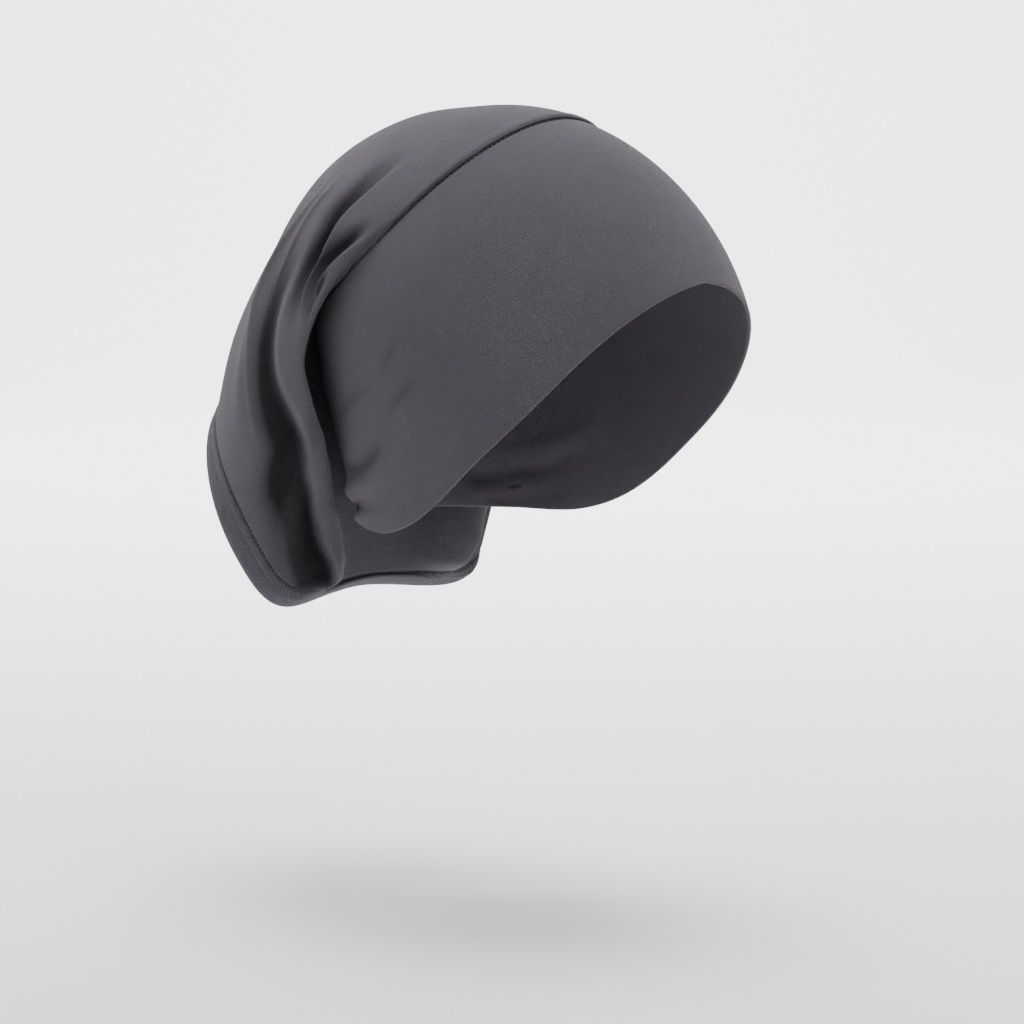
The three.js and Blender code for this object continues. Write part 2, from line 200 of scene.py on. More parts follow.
def folded(grid, normals, side, folds, place):
    """A grid moved by a list of folds, and the painted shade of each point that lies deep in a
    fold, from 0 to 1.

    A fold is a ridge or a hollow, with its heights along its path and a width, or a lap, with a
    rise, the rise's width, a drop and the drop's width: the cloth drops before the path and
    stands up past it. It moves the cloth along its push, a direction that soon turns into a
    second one, or along the normals if it has none. It fades in and out over the shares of the
    path in its fade, and has the share in left on the wearer's left.
    """
    points = grid.reshape(-1, 3)
    sides = np.broadcast_to(side, grid.shape[:2]).ravel()
    moved = points.copy()
    fold_shade = np.zeros(len(points))
    for fold in folds:
        offset, beside = crossing(points, sides, fold["path"], place)
        # Each fold also gives painted shade, darkest where the cloth has sunk furthest before a
        # lap's edge or into a hollow.
        if "lap" in fold:
            rise, rise_width, drop, drop_width = fold["lap"]
            past = smooth_step((offset + LAP_EDGE) / (2 * LAP_EDGE))
            up = rise * np.exp(-((np.maximum(offset - LAP_EDGE, 0) / rise_width) ** 2))
            shape = np.exp(-((np.minimum(offset + LAP_EDGE, 0) / drop_width) ** 2))
            form = (up + drop * shape) * past - drop * shape
            deep = np.clip(drop * shape / FULL_SHADE_SINK, 0, 1) * (1 - past)
        else:
            heights = np.interp(beside, np.linspace(0, 1, len(fold["heights"])), fold["heights"])
            form = heights * np.exp(-((offset / fold["width"]) ** 2))
            deep = np.clip(-form / FULL_SHADE_SINK, 0, 1)
        fade_in, fade_out = fold["fade"]
        faded = smooth_step(beside / fade_in) * smooth_step((1 - beside) / fade_out)
        faded = faded * np.where(sides > 0, 1, fold["left"])
        out = normals.reshape(-1, 3)
        if "push" in fold:
            first, last = np.array(fold["push"], float)
            out = first + (last - first) * smooth_step(beside / TURNED)[:, None]
            out = out / np.linalg.norm(out, axis=1, keepdims=True)
            out[:, 0] *= sides
        moved += out * (form * faded)[:, None]
        fold_shade = np.maximum(fold_shade, deep * faded)
    return moved.reshape(grid.shape), fold_shade.reshape(grid.shape[:2])


def relaxed(grid, rounds):
    """A grid smoothed by moving each point toward the mean of its neighbours. The first and the
    last loop stay."""
    for _ in range(rounds):
        mean = (np.roll(grid, 1, axis=1) + np.roll(grid, -1, axis=1)) / 2
        mean[1:-1] = (mean[1:-1] + (grid[2:] + grid[:-2]) / 2) / 2
        moved = grid + 0.5 * (mean - grid)
        moved[0], moved[-1] = grid[0], grid[-1]
        grid = moved
    return grid


def ditch(distance):
    """How deep the cloth dips at a distance from a seam."""
    return DITCH_DEPTH * np.exp(-((distance / DITCH_WIDTH) ** 2))


def thinned(grid, rows):
    """The same loops, fewer of them."""
    kept = np.round(np.linspace(0, len(grid) - 1, rows)).astype(int)
    return grid[kept]


def laid_out(grid):
    """The place of each point in the flat cloth, in metres: round the loop, and along it."""
    longest = np.linalg.norm(np.diff(grid, axis=1), axis=2).sum(1).max()
    steps = np.linalg.norm(np.diff(grid, axis=0), axis=2)
    along = np.vstack([np.zeros(grid.shape[1]), np.cumsum(steps, axis=0)])
    mean = along.mean(axis=1, keepdims=True)
    around = np.linspace(0, longest, grid.shape[1], endpoint=False)
    around = np.broadcast_to(around, along.shape)
    return np.stack([around, 0.5 * along + 0.5 * mean], axis=2) / 1000


def linked(name, data):
    """An object made of a mesh, a light or a camera, in the scene."""
    made = bpy.data.objects.new(name, data)
    bpy.context.scene.collection.objects.link(made)
    return made


def smooth_mesh(name, points, faces):
    """A smooth-shaded mesh in metres from points in millimetres from the head's centre."""
    mesh = bpy.data.meshes.new(name)
    mesh.from_pydata(((points - TOP_OF_HEAD) / 1000).tolist(), [], faces)
    mesh.polygons.foreach_set("use_smooth", np.ones(len(faces), bool))
    mesh.update()
    return mesh


def cloth_mesh(name, rings, flat, fold_shade, caps=()):
    """A mesh object of closed rings, each joined to the next, and the last to the first unless
    caps, the two middle points of an open stack, close it. The fourth argument is the painted
    shade of each point of the first loops, darkest deep in a fold, from 0 to 1."""
    count, columns = rings.shape[:2]
    points = rings.reshape(-1, 3)
    rows = count - 1 if len(caps) else count
    j, i = np.meshgrid(np.arange(rows), np.arange(columns), indexing="ij")
    after, next_ring = (i + 1) % columns, (j + 1) % count
    quads = np.stack([j * columns + i, next_ring * columns + i,
                      next_ring * columns + after, j * columns + after], axis=-1).reshape(-1, 4)
    faces = quads.tolist()
    width = flat[:, 1:2, 0] - flat[:, 0:1, 0]
    u0, v0 = flat[..., 0], flat[..., 1]
    u1 = u0 + width
    v1 = np.roll(v0, -1, axis=0)
    if not len(caps):
        v1[-1] = v0[-1]
    places = np.stack([np.stack([u0, v0], -1), np.stack([u0, v1], -1),
                       np.stack([u1, v1], -1), np.stack([u1, v0], -1)], axis=2)[:rows]
    places = places.reshape(-1, 2)
    if len(caps):
        first, last = len(points), len(points) + 1
        ring = np.arange(columns)
        end = (count - 1) * columns
        faces += [[first, int(a), int((a + 1) % columns)] for a in ring]
        faces += [[last, int(end + (a + 1) % columns), int(end + a)] for a in ring]
        points = np.vstack([points, np.array(caps)])
        middle = np.array([flat[0].mean(0), flat[-1].mean(0)])
        for cap, row in ((0, 0), (1, count - 1)):
            corner = flat[row]
            turned = np.roll(corner, -1, axis=0)
            pair = [corner, turned] if cap == 0 else [turned, corner]
            fan = np.stack([np.broadcast_to(middle[cap], corner.shape), *pair], axis=1)
            places = np.vstack([places, fan.reshape(-1, 2)])
    mesh = smooth_mesh(name, points, faces)
    layer = mesh.uv_layers.new(name="cloth")
    layer.data.foreach_set("uv", places.astype(np.float32).ravel())
    # Painted shade deep in the folds, kept on the points for the material to darken the colour by.
    fold_shade_values = np.zeros(len(points), np.float32)
    fold_shade_values[:fold_shade.size] = fold_shade.ravel()
    fold_shade_layer = mesh.attributes.new("fold_painted_shade", "FLOAT", "POINT")
    fold_shade_layer.data.foreach_set("value", fold_shade_values)
    return linked(name, mesh)


def stitch_row(name, line, facing, pitch, width):
    """Threads that bridge a seam one after the other, all round a closed line, with the seam's
    ditch dark between them. Facing is the way out of the cloth along the line."""
    sides, flatness, end_dip = 6, 0.5, 0.5
    line = line + facing * STITCH_LIFT
    # the rings of one thread: the share of its half length, and how wide it is there
    thread_rings = ((-1, 0.3), (-0.7, 0.8), (0, 1), (0.7, 0.8), (1, 0.3))
    closed = np.vstack([line, line[:1]])
    run = np.concatenate([[0], np.cumsum(np.linalg.norm(np.diff(closed, axis=0), axis=1))])
    count = round(run[-1] / pitch)
    at = (np.arange(count) + 0.5) * run[-1] / count

    def along_line(values, places):
        around = np.vstack([values, values[:1]])
        return np.stack([np.interp(places % run[-1], run, around[:, k]) for k in range(3)], axis=1)

    centre = along_line(line, at)
    tangent = along_line(line, at + 0.4) - along_line(line, at - 0.4)
    tangent /= np.linalg.norm(tangent, axis=1, keepdims=True)
    out = along_line(facing, at)
    across = np.cross(tangent, out)
    across /= np.linalg.norm(across, axis=1, keepdims=True)
    corner = np.arange(sides) / sides * 2 * np.pi
    rings = []
    for place, wide in thread_rings:
        middle = centre + across * place * STITCH_LENGTH / 2 - out * end_dip * place**2
        ring = (tangent[:, None] * np.cos(corner)[:, None]
                + out[:, None] * np.sin(corner)[:, None] * flatness)
        rings.append(middle[:, None] + ring * wide * width / 2)
    points = np.stack(rings, axis=1).reshape(-1, 3)
    faces = []
    for stitch in range(count):
        start = stitch * len(thread_rings) * sides
        for j in range(len(thread_rings) - 1):
            for i in range(sides):
                a, b = start + j * sides + i, start + j * sides + (i + 1) % sides
                faces.append((a, a + sides, b + sides, b))
        faces.append(tuple(start + i for i in range(sides)))
        last_ring = start + (len(thread_rings) - 1) * sides
        faces.append(tuple(last_ring + i for i in reversed(range(sides))))
    return linked(name, smooth_mesh(name, points, faces))


def band_points(turn, down, side):
    """Points of the smooth band at turns and shares of its width below the seam."""
    start = seam_angle(turn) + SEAM_GAP / 2 / HEAD_HALF_BREADTH
    angle = start + (rim_angle(turn) - start) * down
    return over_head(turn, angle, side, HEAD_EASE + BAND_THICKNESS)


def band_place(turn_degrees, down, side):
    return band_points(np.radians(np.clip(turn_degrees, 0, 180)), down, side)


band_share, band_side = loop_places(BAND_COLUMNS)
down_share = (np.linspace(1, 0, BAND_ROWS) ** 1.25)[:, None]
band_smooth = band_points(band_share * np.pi, down_share, band_side)

# The stretched rim draws the lower corner behind each ear into soft lobes, and tension creases
# rise from it. The paths go through points of turn in degrees and share of the width below the
# seam.
BAND_FOLDS = [
    {"heights": (-0.7,), "width": 2.4, "fade": (0.4, 0.4), "left": 0.8,
     "path": [[140, 0.5], [125, 0.46], [106, 0.47]]},
    {"heights": (-0.7,), "width": 2.4, "fade": (0.4, 0.4), "left": 0.8,
     "path": [[114, 0.63], [102, 0.61], [89, 0.62]]},
    {"heights": (-0.55,), "width": 2.2, "fade": (0.4, 0.4), "left": 0.8,
     "path": [[108, 0.46], [98, 0.44], [89, 0.41]]},
    {"heights": (-1.6,), "width": 3.4, "fade": (0.35, 0.4), "left": 0.9,
     "path": [[150, 0.76], [138, 0.74], [126, 0.71], [112, 0.66]]},
    {"heights": (2.6,), "width": 4.2, "fade": (0.2, 0.5), "left": 0.9,
     "path": [[163, 0.84], [153, 0.86], [143, 0.83], [132, 0.8], [120, 0.8]]},
    {"heights": (-2.4,), "width": 1.7, "fade": (0.2, 0.6), "left": 0.9,
     "path": [[161, 0.95], [152, 0.935], [145, 0.905], [137, 0.87]]},
    {"heights": (1.6,), "width": 2.2, "fade": (0.2, 0.5), "left": 0.9,
     "path": [[160, 0.985], [150, 0.965], [141, 0.94], [131, 0.92]]},
]
band_normals = grid_normals(band_smooth)
# The folds also give the band painted shade deep in its creases.
band_face, band_fold_shade = folded(band_smooth, band_normals, band_side, BAND_FOLDS, band_place)

# The edge rolls down into the ditch of the seam.
to_seam = np.linalg.norm(band_face - band_face[-1:], axis=2)
band_face = band_face - band_normals * ditch(to_seam)[..., None]
band_lining = thinned(band_face - grid_normals(band_face) * BAND_THICKNESS, BAND_LINING_ROWS)
rim_turn = np.linspace(0, np.pi, RIM_ROWS + 2)[1:-1, None, None]
rim_middle = (band_face[0] + band_lining[0]) / 2
rim_out = band_face[0] - rim_middle
rim_down = band_face[0] - band_face[2]
rim_down = rim_down / np.linalg.norm(rim_down, axis=1, keepdims=True) * BAND_THICKNESS / 2
rim_rows = rim_middle - rim_out * np.cos(rim_turn) + rim_down * np.sin(rim_turn)
band_rings = np.concatenate([band_face, band_lining[::-1], rim_rows])
front_band = cloth_mesh("front_band_jersey", band_rings, laid_out(band_rings), band_fold_shade)


class Shade:
    """A socket of a material, so that sums of values can be written as sums."""

    def __init__(self, tree, socket):
        self.tree, self.socket = tree, socket

    def node(self, kind, settings=None, **values):
        """A node of a kind: its settings first, then the values or links of its sockets."""
        made = self.tree.nodes.new(kind)
        for key, value in (settings or {}).items():
            if key == "stops":
                for stop, (position, colour) in zip(made.color_ramp.elements, value):
                    stop.position, stop.color = position, (*colour, 1)
            else:
                setattr(made, key, value)
        for key, value in values.items():
            place = int(key[1:]) if key[1:].isdigit() else key.replace("_", " ")
            socket = made.inputs[place]
            if isinstance(value, Shade):
                self.tree.links.new(value.socket, socket)
            else:
                socket.default_value = value
        return made

    def out(self, kind, settings=None, result=0, **values):
        return Shade(self.tree, self.node(kind, settings, **values).outputs[result])

    def maths(self, operation, *values):
        return self.out("ShaderNodeMath", {"operation": operation},
                        **{f"n{k}": value for k, value in enumerate(values)})

    def __add__(self, other):
        return self.maths("ADD", self, other)

    def __radd__(self, other):
        return self.maths("ADD", other, self)

    def __sub__(self, other):
        return self.maths("SUBTRACT", self, other)

    def __rsub__(self, other):
        return self.maths("SUBTRACT", other, self)

    def __mul__(self, other):
        return self.maths("MULTIPLY", self, other)

    def __rmul__(self, other):
        return self.maths("MULTIPLY", other, self)

    def __pow__(self, other):
        return self.maths("POWER", self, other)


def blank_material(name):
    """A material without nodes, and a Shade to add them with."""
    made = bpy.data.materials.new(name)
    made.use_nodes = True
    made.node_tree.nodes.clear()
    return made, Shade(made.node_tree, None)


def jersey(name, dark, light, course, wale, slant):
    """Fine plain-knit jersey: rows of loops whose courses and wales show as a fine relief, an
    uneven dye, a dull bloom of short fibres, and painted shade, near-black mixed into the colour
    deep in the folds. Course and wale are pitches in metres, and slant is how far the wales lean in
    the worn piece."""
    made, base = blank_material(name)
    flat_place = base.out("ShaderNodeUVMap", {"uv_map": "cloth"})
    parts = base.node("ShaderNodeSeparateXYZ", Vector=flat_place)
    across, along = (Shade(base.tree, socket) for socket in parts.outputs[:2])
    place = base.out("ShaderNodeTexCoord", result=3)
    wander = base.out("ShaderNodeTexNoise", Vector=place, Scale=90.0, Detail=2.0)
    rows = (along + slant * across) * (2 * np.pi / course) + wander * 5
    columns = (across - slant * along) * (2 * np.pi / wale) + wander * 4
    course_wave = base.maths("SINE", rows)
    wale_wave = base.maths("SINE", columns)
    fuzz = base.out("ShaderNodeTexNoise", Vector=place, Scale=1500.0, Detail=3.0, Roughness=0.7)
    strength = base.out("ShaderNodeTexNoise", Vector=place, Scale=35.0, Detail=2.0)
    relief = (course_wave * (0.25 + 0.5 * strength) + wale_wave * 0.3
              + course_wave * wale_wave * 0.35)
    height = relief * 0.5 + fuzz * 1.1
    patch = base.out("ShaderNodeTexNoise", Vector=place, Scale=14.0, Detail=3.0, Roughness=0.55)
    tone = patch * 0.5 + fuzz * 0.55 + relief * 0.16 - 0.03
    dyed = base.out("ShaderNodeValToRGB", {"stops": [(0.2, dark), (0.8, light)]}, Fac=tone)
    # Painted shade: the dyed colour is mixed toward near-black by the fold shade kept on the
    # points.
    fold_shade = base.out("ShaderNodeAttribute", {"attribute_name": "fold_painted_shade"}, result=2)
    tint = base.out("ShaderNodeMixRGB", {"blend_type": "MIX"}, Fac=fold_shade * 0.95, Color1=dyed,
                    Color2=(0.004, 0.004, 0.006, 1))
    bump = base.out("ShaderNodeBump", Height=height, Strength=0.85, Distance=0.00035)
    surface = base.out("ShaderNodeBsdfPrincipled", Base_Color=tint, Roughness=0.86 + 0.1 * fuzz,
                       Normal=bump)
    shader = surface.socket.node
    shader.inputs["Sheen Weight"].default_value = 0.14
    shader.inputs["Sheen Roughness"].default_value = 0.5
    shader.inputs["Sheen Tint"].default_value = (0.8, 0.78, 0.85, 1)
    shader.inputs["Specular IOR Level"].default_value = 0.18
    base.node("ShaderNodeOutputMaterial", Surface=surface)
    return made


def thread(name):
    """Matt sewing thread, dyed like the cloth and twisted."""
    dark, light = (0.045, 0.041, 0.048), (0.085, 0.078, 0.09)
    made, base = blank_material(name)
    place = base.out("ShaderNodeTexCoord", result=3)
    ply = base.out("ShaderNodeTexNoise", Vector=place, Scale=2600.0, Detail=2.0)
    tint = base.out("ShaderNodeValToRGB", {"stops": [(0.3, dark), (0.7, light)]}, Fac=ply)
    bump = base.out("ShaderNodeBump", Height=ply, Strength=0.5, Distance=0.0001)
    surface = base.out("ShaderNodeBsdfPrincipled", Base_Color=tint, Roughness=0.75 + 0.2 * ply,
                       Normal=bump)
    base.node("ShaderNodeOutputMaterial", Surface=surface)
    return made


band_stitches = stitch_row("band_seam_stitches", band_face[-1], grid_normals(band_face)[-1],
                           BAND_STITCH_PITCH, BAND_STITCH_WIDTH)
band_stitches.data.materials.append(thread("seam_thread"))
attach(band_stitches, "root")
front_band.data.materials.append(
    jersey("band_jersey", (0.054, 0.049, 0.058), (0.096, 0.088, 0.101), 0.00095, 0.0008, 0.5))
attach(front_band, "root")
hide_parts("front_band")


# ---- The crown bag ----
# A wide tube of the same jersey in a single layer, sewn to the band's upper edge and closed at its
# far end. It lies over the crown, flops back and down behind the head, and bends at the seam
# behind the ears, where its folds gather.
BAG_THICKNESS = 1.0
BAG_HALF_WIDTH = 77
BAG_REACH = 166
BAG_DROP = 97
LAYER_GAP = 0.8
BAG_COLUMNS = 480
BAG_LINING_ROWS = 42
END_SEAM_RISE = 0.012
END_SEAM_BOW = 0.045
BOW_WIDTH = 0.25
FREED_AT = 0.3
LARGE_FOLDS_EASED = 9
ALL_FOLDS_EASED = 3
COVER_FROM = 0.04
ALLOWANCE_WIDTH = 4.2
ALLOWANCE_LIFT = 0.35
# along; the outer line's back and up; the side line's side, back and up; the inner line's back
# and up; and the fullness of the loop, as shares
BAG_SECTIONS = np.array([
    [0, -0.127, 0.98, 0.85, 0.196, 0.46, 0.608, 0.12, 1],
    [0.12, 0.06, 1.03, 0.92, 0.259, 0.37, 0.663, 0.14, 0.98],
    [0.28, 0.335, 1.0, 0.98, 0.313, 0.22, 0.663, -0.04, 0.93],
    [0.45, 0.585, 0.82, 1, 0.37, 0.04, 0.651, -0.31, 0.89],
    [0.62, 0.77, 0.49, 0.99, 0.435, -0.24, 0.627, -0.57, 0.87],
    [0.8, 0.905, 0.14, 0.98, 0.53, -0.56, 0.59, -0.83, 0.85],
    [1, 0.97, -0.21, 0.92, 0.61, -0.9, 0.56, -1.07, 0.82]])


def end_seam(share):
    """How far along the bag its end seam is: the seam bows up on each side."""
    return 1 - END_SEAM_RISE - END_SEAM_BOW * np.exp(-(((share - 0.5) / BOW_WIDTH) ** 2))


def bag_place(share, along, side):
    """Points of the bag before its folds, at shares of the half loop and along the bag."""
    share, along, side = (x.ravel() for x in np.broadcast_arrays(
        np.asarray(share, float), np.asarray(along, float), np.asarray(side, float)))
    share, along = np.clip(share, 0, 1), np.clip(along, 0, 1)
    outer_back, outer_up, out, side_back, side_up, inner_back, inner_up, full = (
        table_curve(BAG_SECTIONS, along).T)

    def at(back, up):
        height = np.where(up > 0, CROWN_HEIGHT, BAG_DROP) * up
        return np.stack([0 * back, back * BAG_REACH, height], axis=1)

    outer, inner, flank = at(outer_back, outer_up), at(inner_back, inner_up), at(side_back, side_up)
    middle = (outer + inner) / 2
    cosine = np.cos(share * np.pi)
    sine = np.abs(np.sin(share * np.pi)) ** full
    lengthwise = np.sign(cosine) * np.abs(cosine) ** full
    loop = middle + (outer - middle) * lengthwise[:, None] + (flank - middle) * sine[:, None] ** 2
    loop = loop + WEARERS_RIGHT * (out * BAG_HALF_WIDTH * sine * side)[:, None]
    turn = share * np.pi
    start = seam_angle(turn) - SEAM_GAP / 2 / HEAD_HALF_BREADTH
    seam = over_head(turn, start, side, HEAD_EASE + BAND_THICKNESS)
    freed = (1 - (1 - np.minimum(along / FREED_AT, 1)) ** 2)[:, None]
    return seam + (loop - seam) * freed


bag_share, bag_side = loop_places(BAG_COLUMNS)
# the loops stand closer together beside both seams
bag_along = np.concatenate([np.linspace(0, 0.02, 8)[:-1], np.linspace(0.02, 0.98, 150),
                            np.linspace(0.98, 1, 8)[1:]])
bag_smooth = bag_place(bag_share, bag_along[:, None] * end_seam(bag_share), bag_side)
bag_smooth = bag_smooth.reshape(len(bag_along), BAG_COLUMNS, 3)

# The bag's paths go through points of share round the half loop and share along the bag. The
# large folds are two strands that gather at the bend, the roll behind it with the hollow that it
# laps over, the roll's front edge, and the soft swell of the back.
STRAND_CREASE = [[0.246, 0.233], [0.279, 0.278], [0.304, 0.336], [0.329, 0.368], [0.346, 0.407],
                 [0.358, 0.452], [0.371, 0.484], [0.392, 0.503], [0.425, 0.503], [0.471, 0.477]]
SECOND_CREASE = [[0.396, 0.239], [0.392, 0.297], [0.392, 0.368], [0.4, 0.407], [0.421, 0.432],
                 [0.458, 0.439], [0.5, 0.426]]
BAG_LARGE_FOLDS = [
    {"lap": (1.5, 4, 7.5, 5), "fade": (0.4, 0.55), "left": 0.9,
     "path": [[0.217, 0.175], *STRAND_CREASE]},
    {"lap": (0.8, 3.5, 5, 3.8), "fade": (0.35, 0.6), "left": 0.8,
     "path": [[0.4, 0.136], [0.4, 0.194], *SECOND_CREASE]},
    {"lap": (3, 10, 9.5, 9), "fade": (0.4, 0.06), "left": 0.9,
     "push": ((-0.8, -0.6, 0), (-0.8, -0.6, 0)),
     "path": [[0.275, 0.395], [0.296, 0.445], [0.312, 0.49], [0.321, 0.535], [0.329, 0.58],
              [0.36, 0.622], [0.408, 0.645], [0.454, 0.655], [0.504, 0.66], [0.579, 0.655],
              [0.65, 0.665], [0.705, 0.69], [0.745, 0.745], [0.77, 0.812], [0.8, 0.903],
              [0.82, 1]]},
    {"heights": (2, 5, 10, 16, 19, 18, 19, 19, 12), "width": 12, "fade": (0.2, 0.05), "left": 0.9,
     "push": ((-0.5, -0.85, 0), (0, -1, 0)),
     "path": [[0.471, 0.48], [0.525, 0.477], [0.575, 0.49], [0.625, 0.523], [0.675, 0.561],
              [0.735, 0.605], [0.78, 0.664], [0.805, 0.729], [0.82, 0.79], [0.83, 0.89],
              [0.84, 1]]},
    {"heights": (2.5,), "width": 8, "fade": (0.3, 0.3), "left": 0.7,
     "path": [[0.1, 0.42], [0.2, 0.57], [0.25, 0.67], [0.33, 0.76], [0.43, 0.82]]},
]
# The small folds are a third strand, the sharp creases of the first two, two ridges pressed in
# the back, and a crease near the top.
BAG_SMALL_FOLDS = [
    {"lap": (0.3, 3, 2.2, 2), "fade": (0.4, 0.5), "left": 0.9,
     "path": [[0.425, 0.29], [0.435, 0.325], [0.446, 0.347], [0.467, 0.374], [0.5, 0.368]]},
    {"heights": (-2, -2.6, -2.4, -1.8, -1.4), "width": 1.9, "fade": (0.2, 0.3), "left": 0.9,
     "path": [[0.229, 0.207], *STRAND_CREASE]},
    {"heights": (-1.6, -2.4, -2.2, -1.5), "width": 1.8, "fade": (0.3, 0.3), "left": 0.8,
     "path": SECOND_CREASE},
    {"heights": (1.7,), "width": 1.7, "fade": (0.3, 0.3), "left": 0.7,
     "path": [[0.18, 0.388], [0.205, 0.453], [0.212, 0.55], [0.232, 0.641], [0.271, 0.68],
              [0.343, 0.725], [0.43, 0.762], [0.482, 0.778]]},
    {"heights": (1.3,), "width": 1.5, "fade": (0.4, 0.4), "left": 0.7,
     "path": [[0.19, 0.33], [0.23, 0.43], [0.26, 0.54], [0.27, 0.62]]},
    {"heights": (-2.5,), "width": 2.4, "fade": (0.4, 0.4), "left": 1,
     "path": [[0.06, 0.38], [0.03, 0.32], [0.012, 0.25], [0.01, 0.19]]},
]


def clear_of_head(points, clearance):
    """Points kept at least a clearance away from the head, softly."""
    distance = np.linalg.norm(points, axis=-1, keepdims=True)
    direction = points / distance
    limit = head_radius(direction)[..., None] + clearance
    softness = 1.2
    return direction * (distance + limit + np.hypot(distance - limit, softness)) / 2


def allowance(distance, width):
    """How much of its full height a seam allowance, of a width, lifts the cloth that it lies
    under, at a distance from the seam."""
    return smooth_step(distance / 1.8) * (1 - smooth_step((distance - width) / 1.6))


# The folds also give the bag painted shade deep in its creases.
bag_face, bag_fold_shade = folded(bag_smooth, grid_normals(bag_smooth), bag_side, BAG_LARGE_FOLDS,
                             bag_place)
bag_face = relaxed(bag_face, LARGE_FOLDS_EASED)
small_face, small_fold_shade = folded(bag_smooth, grid_normals(bag_face), bag_side, BAG_SMALL_FOLDS,
                                 bag_place)
bag_face = bag_face + small_face - bag_smooth
bag_fold_shade = np.maximum(bag_fold_shade, small_fold_shade)
kept_off = clear_of_head(bag_face, HEAD_EASE + BAND_THICKNESS + LAYER_GAP)
bag_face = bag_face + (kept_off - bag_face) * smooth_step(bag_along / COVER_FROM)[:, None, None]
bag_face = relaxed(bag_face, ALL_FOLDS_EASED)

# The seam allowance, turned up under the bag, raises it past the ditch of the seam, and at the
# far end the bag dips into the ditch of the end seam.
past_seam = np.linalg.norm(bag_face - bag_face[:1], axis=2)
to_end = np.linalg.norm(bag_face - bag_face[-1:], axis=2)
raised = ALLOWANCE_LIFT * allowance(past_seam, ALLOWANCE_WIDTH) - ditch(past_seam) - ditch(to_end)
bag_face = bag_face + grid_normals(bag_face) * raised[..., None]


def lining_under(face, thickness, rows):
    """The inner side of a cloth. It has fewer loops than the face and stays under it between
    them too, also where a crease dips."""
    normals = grid_normals(face)
    kept = np.round(np.linspace(0, len(face) - 1, rows)).astype(int)
    inner = face[kept] - normals[kept] * thickness
    deeper = np.zeros(inner.shape[:2])
    for k in range(rows - 1):
        between = np.arange(kept[k] + 1, kept[k + 1])
        share = ((between - kept[k]) / (kept[k + 1] - kept[k]))[:, None, None]
        straight = inner[k] * (1 - share) + inner[k + 1] * share
        above = ((straight - face[between]) * normals[between]).sum(2) + thickness / 2
        deeper[k:k + 2] = np.maximum(deeper[k:k + 2], above.max(0))
    return inner - normals[kept] * deeper[..., None]


bag_lining = lining_under(bag_face, BAG_THICKNESS, BAG_LINING_ROWS)
bag_rings = np.concatenate([bag_face, bag_lining[::-1]])
crown_bag = cloth_mesh("crown_bag_jersey", bag_rings, laid_out(bag_rings), bag_fold_shade)
crown_bag.data.materials.append(
    jersey("bag_jersey", (0.054, 0.049, 0.058), (0.098, 0.09, 0.103), 0.00105, 0.0009, 0.0))
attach(crown_bag, "root")
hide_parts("crown_bag")


# ---- The end panel ----
# An oval of the same jersey sewn into the bag's far end, a little loose, so that it bulges. Its
# seam allowance is turned onto the panel and shows as a faint ridge beside the seam.
PANEL_THICKNESS = 1.0
PANEL_BULGE = 17
PANEL_SIDE_ROWS = 14
PANEL_SQUARENESS = 1.7
PANEL_ROWS = 40
PANEL_LINING_ROWS = 14
END_STITCH_PITCH = 1.8
END_STITCH_WIDTH = 0.8
PANEL_EASED = 4
PANEL_ALLOWANCE_WIDTH = 4.4
PANEL_ALLOWANCE_LIFT = 0.7
PANEL_DITCH_DEPTH = 0.3
PANEL_DITCH_WIDTH = 1.1

# The panel first goes on along the bag's own form from the seam to the bag's end, then domes.
panel_onward = bag_face[-1] - bag_face[-3]
panel_onward /= np.linalg.norm(panel_onward, axis=1, keepdims=True)
seam_moved = bag_face[-1] + panel_onward * SEAM_GAP - bag_smooth[-1]
panel_run = np.linspace(0, 1, PANEL_SIDE_ROWS)[:, None]
panel_side = bag_place(bag_share, end_seam(bag_share) * (1 - panel_run) + panel_run, bag_side)
panel_side = panel_side.reshape(PANEL_SIDE_ROWS, BAG_COLUMNS, 3)
panel_side = panel_side + seam_moved * (1 - panel_run)[..., None]
panel_edge = panel_side[-1]
panel_centre = panel_edge.mean(0)
next_edge = np.roll(panel_edge, -1, axis=0)
panel_facing = np.cross(next_edge - panel_centre, panel_edge - panel_centre).sum(0)
panel_facing /= np.linalg.norm(panel_facing)
panel_arc = (np.linspace(0, 1, PANEL_ROWS + 1)[1:-1] ** 1.4 * np.pi / 2)[:, None, None]
panel_dome = panel_edge + (panel_centre - panel_edge) * (1 - np.cos(panel_arc)) ** PANEL_SQUARENESS
panel_dome = panel_dome + panel_facing * PANEL_BULGE * np.sin(panel_arc)
panel_face = relaxed(np.concatenate([panel_side, panel_dome]), PANEL_EASED)
past_edge = np.linalg.norm(panel_face - panel_face[:1], axis=2)
panel_raised = PANEL_ALLOWANCE_LIFT * allowance(past_edge, PANEL_ALLOWANCE_WIDTH)
panel_raised -= PANEL_DITCH_DEPTH * np.exp(-((past_edge / PANEL_DITCH_WIDTH) ** 2))
panel_face = panel_face + grid_normals(panel_face) * panel_raised[..., None]
panel_lining = thinned(panel_face - grid_normals(panel_face) * PANEL_THICKNESS, PANEL_LINING_ROWS)
panel_top = panel_centre + panel_facing * PANEL_BULGE
panel_axes = np.stack([WEARERS_RIGHT, np.cross(panel_facing, WEARERS_RIGHT)]).T


def spread_flat(loops, middle):
    """The place of each point of the dome in the flat cloth, in metres, as far from the middle
    as the cloth is long."""
    steps = np.linalg.norm(np.diff(loops, axis=0), axis=2)
    last = np.linalg.norm(loops[-1:] - middle, axis=2)
    run = np.concatenate([steps, last])[::-1].cumsum(axis=0)[::-1]
    direction = (loops - middle) @ panel_axes
    direction /= np.linalg.norm(direction, axis=2, keepdims=True)
    return direction * run[..., None] / 1000


